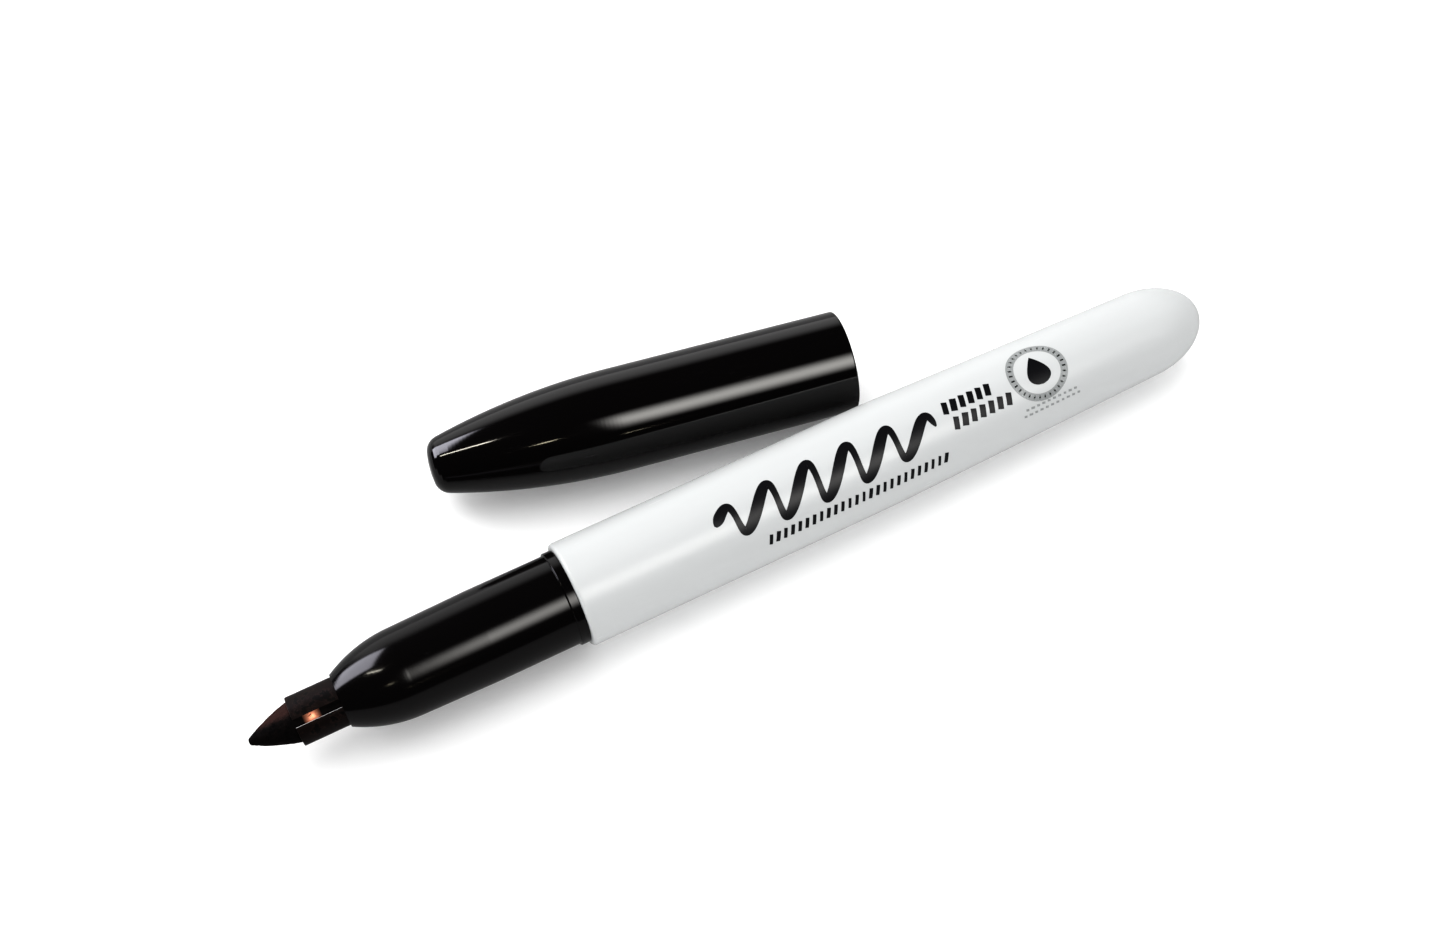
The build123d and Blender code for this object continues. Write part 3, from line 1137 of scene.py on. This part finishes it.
class MARKER_OT_print(bpy.types.Operator):
    """Print plain graphics round the barrel: a bold wave, bars, a rule and a drop in a ring."""

    bl_idname = "marker.print"
    bl_label = "Print"

    def execute(self, context):
        badge, badge_radius = (60.0, 0), 3.4
        print_mark("print_wave", wavy_stroke(), "print_black", 24)
        print_mark("print_bars_long", bar(1.25, 0.5, 0.3), "print_black", 62,
                   start=(22.5, 0), count=26, step=(0.92, 0), vary=0.35)
        print_mark("print_bars_upper", bar(1.5, 0.8, 0.3), "print_black", 10,
                   start=(47.5, 0), count=6, step=(1.15, 0), vary=0.3)
        print_mark("print_bars_lower", bar(1.5, 0.8, 0.3), "print_black", 30,
                   start=(48.0, 0), count=7, step=(1.2, 0), vary=0.3)
        print_mark("print_ring", ring_mark(badge_radius, 0.95), "print_grey", 14, start=badge)
        print_mark("print_ring_ticks", bar(0.2, 0.45, steps=2), "print_black", 14,
                   start=badge, count=30, arm=badge_radius, turn=12)
        print_mark("print_drop", drop_mark(), "print_black", 14, start=badge)
        print_mark("print_dashes_upper", bar(0.3, 0.5, 0.2, 2), "print_grey", 52,
                   start=(57.0, 0), count=10, step=(0.75, 0), vary=0.5)
        print_mark("print_dashes_lower", bar(0.3, 0.5, 0.2, 2), "print_grey", 59,
                   start=(56.6, 0), count=11, step=(0.75, 0), vary=0.5)
        return {"FINISHED"}


# ---- stage -----------------------------------------------------------------------------------

def square(name, half):
    """A flat square on the ground plane, from its half edge."""
    corners = [(-half, -half, 0), (half, -half, 0), (half, half, 0), (-half, half, 0)]
    mesh = bpy.data.meshes.new(name)
    mesh.from_pydata(corners, [], [(0, 1, 2, 3)])
    return object_of(name, mesh)


def glow_card(name, centre, along, across, radiance, tint, softness):
    """A card that shows only in reflections, from its centre and two half edges, in metres.

    Its glow fades out at its edges, over a share of its size along and across.
    """
    card = square(name, 1)
    along, across = Vector(along), Vector(across)
    facing = along.cross(across).normalized()
    rows = [(*along, 0), (*across, 0), (*facing, 0), (*centre, 1)]
    card.matrix_world = Matrix(rows).transposed()
    material = bpy.data.materials.new(name)
    material.use_nodes = True
    tree = material.node_tree
    tree.nodes.clear()
    split = add(tree, "ShaderNodeSeparateXYZ", out(add(tree, "ShaderNodeTexCoord"), "Object"))
    fades = []
    for side, share in zip("XY", softness):
        edge = reckon(tree, "ABSOLUTE", out(split, side))
        fades.append(ramp(tree, edge, 1.0, 1.0 - share, 0.0, radiance ** 0.5,
                          interpolation_type="SMOOTHSTEP"))
    strength = times(tree, *fades)
    glow = add(tree, "ShaderNodeEmission", (*tint, 1.0), strength)
    add(tree, "ShaderNodeOutputMaterial", out(glow))
    card.data.materials.append(material)
    for ray in ("camera", "diffuse", "transmission", "volume_scatter", "shadow"):
        setattr(card, "visible_" + ray, False)


def soft_light(name, direction, distance, size, power):
    """A broad light that lifts the scene and doesn't show in reflections."""
    data = bpy.data.lights.new(name, "AREA")
    data.shape = "SQUARE"
    data.size = size
    data.energy = power
    light = object_of(name, data)
    heading = Vector(direction).normalized()
    light.location = heading * distance
    light.rotation_mode = "QUATERNION"
    light.rotation_quaternion = heading.to_track_quat("Z", "Y")
    light.visible_glossy = False
    light.visible_camera = False


class MARKER_OT_stage(bpy.types.Operator):
    """Lay the floor, hang the lights and set up the camera."""

    bl_idname = "marker.stage"
    bl_label = "Stage"

    def execute(self, context):
        self.lay_floor()
        self.light_world(context.scene)
        self.hang_lights()
        self.set_camera(context.scene)
        context.scene.view_settings.view_transform = "Standard"
        context.scene.view_settings.look = "High Contrast"
        return {"FINISHED"}

    @staticmethod
    def lay_floor():
        direct_tone, reflected_painted_shade = 0.90, 0.30
        floor = square("floor", 4.0)
        material = bpy.data.materials.new("floor_paper")
        material.use_nodes = True
        tree = material.node_tree
        shader = tree.nodes["Principled BSDF"]
        # Painted shade: glossy rays see the floor darker, so its reflection in the plastic is
        # dimmed as if the floor by the marker lay in shade.
        reflected = add(tree, "ShaderNodeLightPath").outputs["Is Glossy Ray"]
        tone = ramp(tree, reflected, 0.0, 1.0, direct_tone, reflected_painted_shade)
        tree.links.new(tone, shader.inputs["Base Color"])
        shader.inputs["Roughness"].default_value = 0.9
        shader.inputs["Specular IOR Level"].default_value = 0.1
        shader.inputs["Emission Color"].default_value = (1, 1, 1, 1)
        shader.inputs["Emission Strength"].default_value = 0.10
        floor.data.materials.append(material)

    @staticmethod
    def light_world(scene):
        world = bpy.data.worlds.new("studio")
        world.use_nodes = True
        background = world.node_tree.nodes["Background"]
        background.inputs["Color"].default_value = (1, 1, 1, 1)
        background.inputs["Strength"].default_value = 0.66
        world.cycles_visibility.glossy = False
        scene.world = world

    @staticmethod
    def hang_lights():
        soft_light("overhead_light", (-0.1, 0.35, 1.0), distance=0.9, size=0.9, power=3.8)
        soft_light("window_light", (-0.5, 0.75, 0.75), distance=0.8, size=0.45, power=1.2)
        glow_card("window_glow", (-0.42, 0.455, 0.42), (0.175, -0.075, 0.20), (0.065, 0.215, -0.12),
                  radiance=8.8, tint=(0.92, 0.91, 1.0), softness=(0.25, 0.25))
        glow_card("front_glow", (0.20, -0.52, 0.70), (0.31, 0, 0), (0, 0.26, 0.20),
                  radiance=8.5, tint=(1.0, 0.985, 0.95), softness=(0.35, 1.0))
        glow_card("horizon_glow", (0.1, 1.2, 0.30), (0.9, 0, 0), (0, 0, 0.86),
                  radiance=1.15, tint=WHITE, softness=(0.5, 0.8))
        warm, warmer = (1.0, 0.96, 0.84), (1.0, 0.93, 0.70)
        tubes = {
            "tube_near": ((-0.72, 0.23, 1.5), (0.20, -0.19, 0), (0.024, 0.026, 0), warm),
            "tube_middle": ((-0.61, -1.25, 1.5), (0.08, 0.01, 0), (0, 0.03, 0), warmer),
            "tube_far": ((-0.24, -3.3, 1.5), (0.025, -0.01, 0), (0.01, 0.05, 0), warmer),
        }
        for name, (centre, along, across, tint) in tubes.items():
            glow_card(name, centre, along, across, radiance=30.0, tint=tint, softness=(0.2, 0.4))

    @staticmethod
    def set_camera(scene):
        """Aim at a spot on the floor, given from the foot of the barrel's lip."""
        bearing, pitch, distance = math.radians(27.49), math.radians(59.64), 193.96 * MM
        lip = MARKER.translation
        target = Vector((lip.x, lip.y, 0)) + Vector((23.93, 9.75, 0)) * MM
        level = math.cos(pitch)
        forward = Vector((math.sin(bearing) * level, math.cos(bearing) * level, -math.sin(pitch)))
        data = bpy.data.cameras.new("camera")
        data.sensor_width = 36.0
        data.lens = 40.0
        data.clip_start, data.clip_end = 0.01, 20.0
        camera = object_of("camera", data)
        camera.location = target - forward * distance
        camera.rotation_mode = "QUATERNION"
        camera.rotation_quaternion = forward.to_track_quat("-Z", "Y")
        scene.camera = camera


OPERATORS = (
    MARKER_OT_barrel,
    MARKER_OT_grip,
    MARKER_OT_holder,
    MARKER_OT_nib,
    MARKER_OT_reservoir,
    MARKER_OT_cap,
    MARKER_OT_print,
    MARKER_OT_stage,
)


class MARKER_PT_panel(bpy.types.Panel):
    """Lists the pieces, their sizes and their colours."""

    bl_idname = "MARKER_PT_panel"
    bl_label = "Felt tip marker"
    bl_space_type = "VIEW_3D"
    bl_region_type = "UI"
    bl_category = "Marker"

    def draw(self, context):
        for operator in OPERATORS:
            self.layout.operator(operator.bl_idname)
        for group in ("marker_sizes", "cap_sizes", "marker_finishes"):
            settings = getattr(context.scene, group)
            box = self.layout.box()
            for name in settings.__annotations__:
                box.prop(settings, name)


CLASSES = (MarkerSizes, CapSizes, Finishes, *OPERATORS, MARKER_PT_panel)


def register():
    for cls in CLASSES:
        bpy.utils.register_class(cls)
    bpy.types.Scene.marker_sizes = PointerProperty(type=MarkerSizes)
    bpy.types.Scene.cap_sizes = PointerProperty(type=CapSizes)
    bpy.types.Scene.marker_finishes = PointerProperty(type=Finishes)


def unregister():
    for name in ("marker_sizes", "cap_sizes", "marker_finishes"):
        delattr(bpy.types.Scene, name)
    for cls in reversed(CLASSES):
        bpy.utils.unregister_class(cls)


def main():
    register()
    for operator in OPERATORS:
        getattr(bpy.ops.marker, operator.bl_idname.split(".")[1])()


if __name__ == "__main__":
    main()
